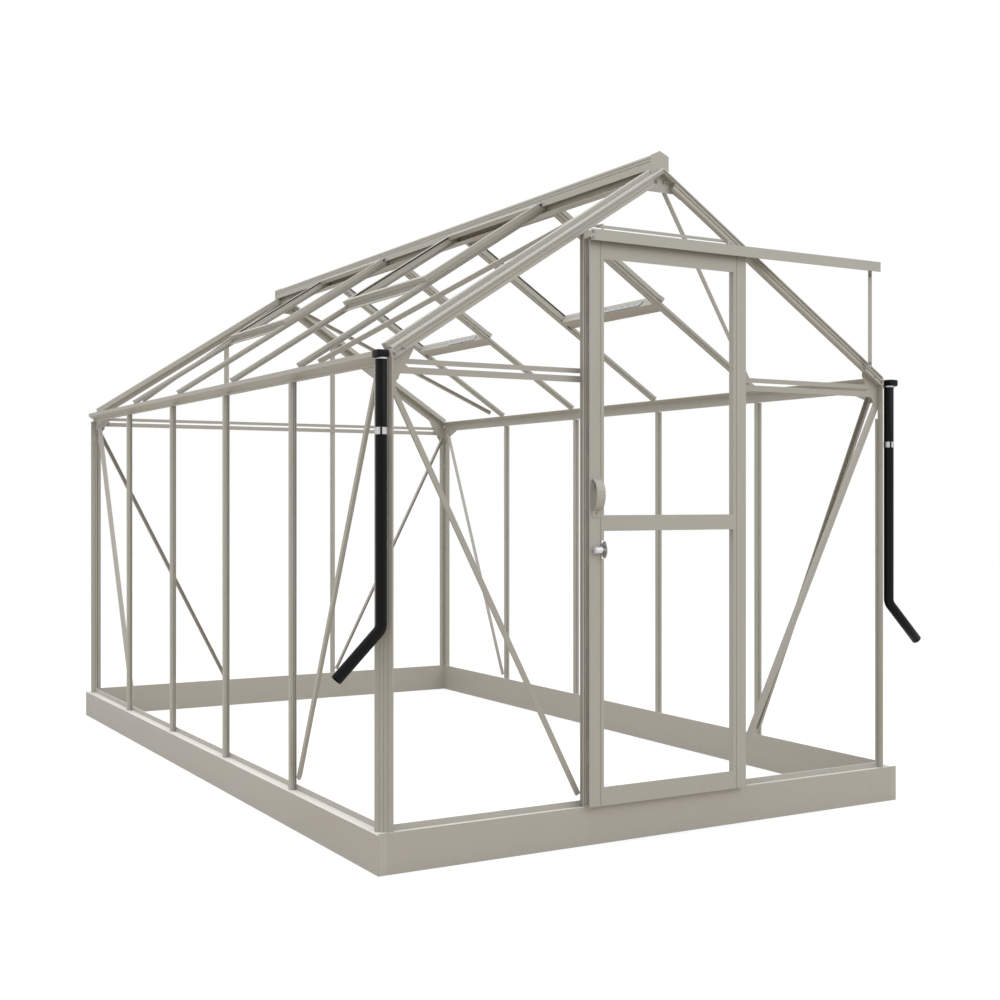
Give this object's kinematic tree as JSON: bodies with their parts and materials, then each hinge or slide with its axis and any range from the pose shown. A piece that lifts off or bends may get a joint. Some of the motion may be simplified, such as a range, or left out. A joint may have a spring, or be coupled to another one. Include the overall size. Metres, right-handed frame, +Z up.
{
  "type": "greenhouse",
  "caption": "Apex greenhouse frame on a raised metal base, with a sliding gable door on an overhead track, hinged roof vents, eave gutters and downpipes.",
  "frame": {"origin": "middle of the whole outline at ground level", "axes": "+Z up, the ridge runs along Y, the door gable faces -Y, and the door slides open towards +X"},
  "size_m": [2.1498, 3.2573, 2.0533],
  "materials": {
    "base_coat": "satin warm grey powder coat on folded steel",
    "frame_coat": "satin warm grey powder coat on aluminium bars",
    "door_coat": "satin warm grey powder coat on aluminium",
    "vent_coat": "satin warm grey powder coat on aluminium",
    "brace_coat": "satin warm grey powder coat on flat strip and small folded bar",
    "pipe_black": "black moulded plastic",
    "bright_metal": "bare bright metal"
  },
  "bodies": {
    "frame": {"base_plinth_front": "base_coat", "base_plinth_rear": "base_coat", "base_plinth_left": "base_coat", "base_plinth_right": "base_coat", "corner_post_front_left": "frame_coat", "corner_post_front_right": "frame_coat", "corner_post_rear_left": "frame_coat", "corner_post_rear_right": "frame_coat", "side_bar_left_1": "frame_coat", "side_bar_left_2": "frame_coat", "side_bar_left_3": "frame_coat", "side_bar_left_4": "frame_coat", "side_bar_right_1": "frame_coat", "side_bar_right_2": "frame_coat", "side_bar_right_3": "frame_coat", "side_bar_right_4": "frame_coat", "door_post_left": "frame_coat", "door_post_right": "frame_coat", "rear_stud_left": "frame_coat", "rear_stud_right": "frame_coat", "eave_gutter_left": "frame_coat", "eave_gutter_right": "frame_coat", "gable_rafter_front_left": "frame_coat", "gable_rafter_front_right": "frame_coat", "gable_rafter_rear_left": "frame_coat", "gable_rafter_rear_right": "frame_coat", "roof_bar_left_1": "frame_coat", "roof_bar_left_2": "frame_coat", "roof_bar_left_3": "frame_coat", "roof_bar_left_4": "frame_coat", "roof_bar_right_1": "frame_coat", "roof_bar_right_2": "frame_coat", "roof_bar_right_3": "frame_coat", "roof_bar_right_4": "frame_coat", "ridge_beam": "frame_coat", "vent_sill_left_front": "vent_coat", "vent_sill_left_rear": "vent_coat", "vent_sill_right_front": "vent_coat", "vent_sill_right_rear": "vent_coat", "corner_brace_front_left": "brace_coat", "corner_brace_front_right": "brace_coat", "corner_brace_rear_left": "brace_coat", "corner_brace_rear_right": "brace_coat", "apex_brace_front": "brace_coat", "apex_brace_rear": "brace_coat", "door_track": "door_coat", "track_stay": "brace_coat", "downpipe_left": "pipe_black", "downpipe_right": "pipe_black"},
    "door": {"sliding_door": "door_coat", "door_handle": "door_coat"},
    "lock": {"door_lock": "bright_metal"},
    "vent_left_front": {"roof_vent_left_front": "vent_coat"},
    "vent_left_rear": {"roof_vent_left_rear": "vent_coat"},
    "vent_right_front": {"roof_vent_right_front": "vent_coat"},
    "vent_right_rear": {"roof_vent_right_rear": "vent_coat"},
    "stay_left_front": {"vent_stay_left_front": "bright_metal"},
    "stay_left_rear": {"vent_stay_left_rear": "bright_metal"},
    "stay_right_front": {"vent_stay_right_front": "bright_metal"},
    "stay_right_rear": {"vent_stay_right_rear": "bright_metal"}
  },
  "joints": [
    {"name": "door_slide", "type": "slide", "parent": "frame", "child": "door", "axis": [1, 0, 0], "range_m": [0, 0.51]},
    {"name": "lock_turn", "type": "hinge", "parent": "door", "child": "lock", "pos_m": [-0.2634, -1.61015, 0.856], "axis": [1, 0, 0], "range_deg": [0, 90]},
    {"name": "vent_left_front_hinge", "type": "hinge", "parent": "frame", "child": "vent_left_front", "pos_m": [-0.0328, -0.59785, 2.00868], "axis": [0, 1, 0], "range_deg": [0, 45]},
    {"name": "vent_left_rear_hinge", "type": "hinge", "parent": "frame", "child": "vent_left_rear", "pos_m": [-0.0328, 0.64715, 2.00868], "axis": [0, 1, 0], "range_deg": [0, 45]},
    {"name": "vent_right_front_hinge", "type": "hinge", "parent": "frame", "child": "vent_right_front", "pos_m": [0.0328, -0.59785, 2.00868], "axis": [0, -1, 0], "range_deg": [0, 45]},
    {"name": "vent_right_rear_hinge", "type": "hinge", "parent": "frame", "child": "vent_right_rear", "pos_m": [0.0328, 0.64715, 2.00868], "axis": [0, -1, 0], "range_deg": [0, 45]},
    {"name": "stay_left_front_hinge", "type": "hinge", "parent": "vent_left_front", "child": "stay_left_front", "pos_m": [-0.45952, -0.57785, 1.7262], "axis": [0.8387, 0, 0.5446], "range_deg": [0, 90]},
    {"name": "stay_left_rear_hinge", "type": "hinge", "parent": "vent_left_rear", "child": "stay_left_rear", "pos_m": [-0.45952, 0.66715, 1.7262], "axis": [0.8387, 0, 0.5446], "range_deg": [0, 90]},
    {"name": "stay_right_front_hinge", "type": "hinge", "parent": "vent_right_front", "child": "stay_right_front", "pos_m": [0.45952, -0.57785, 1.7262], "axis": [0.8387, 0, -0.5446], "range_deg": [0, 90]},
    {"name": "stay_right_rear_hinge", "type": "hinge", "parent": "vent_right_rear", "child": "stay_right_rear", "pos_m": [0.45952, 0.66715, 1.7262], "axis": [0.8387, 0, -0.5446], "range_deg": [0, 90]}
  ]
}
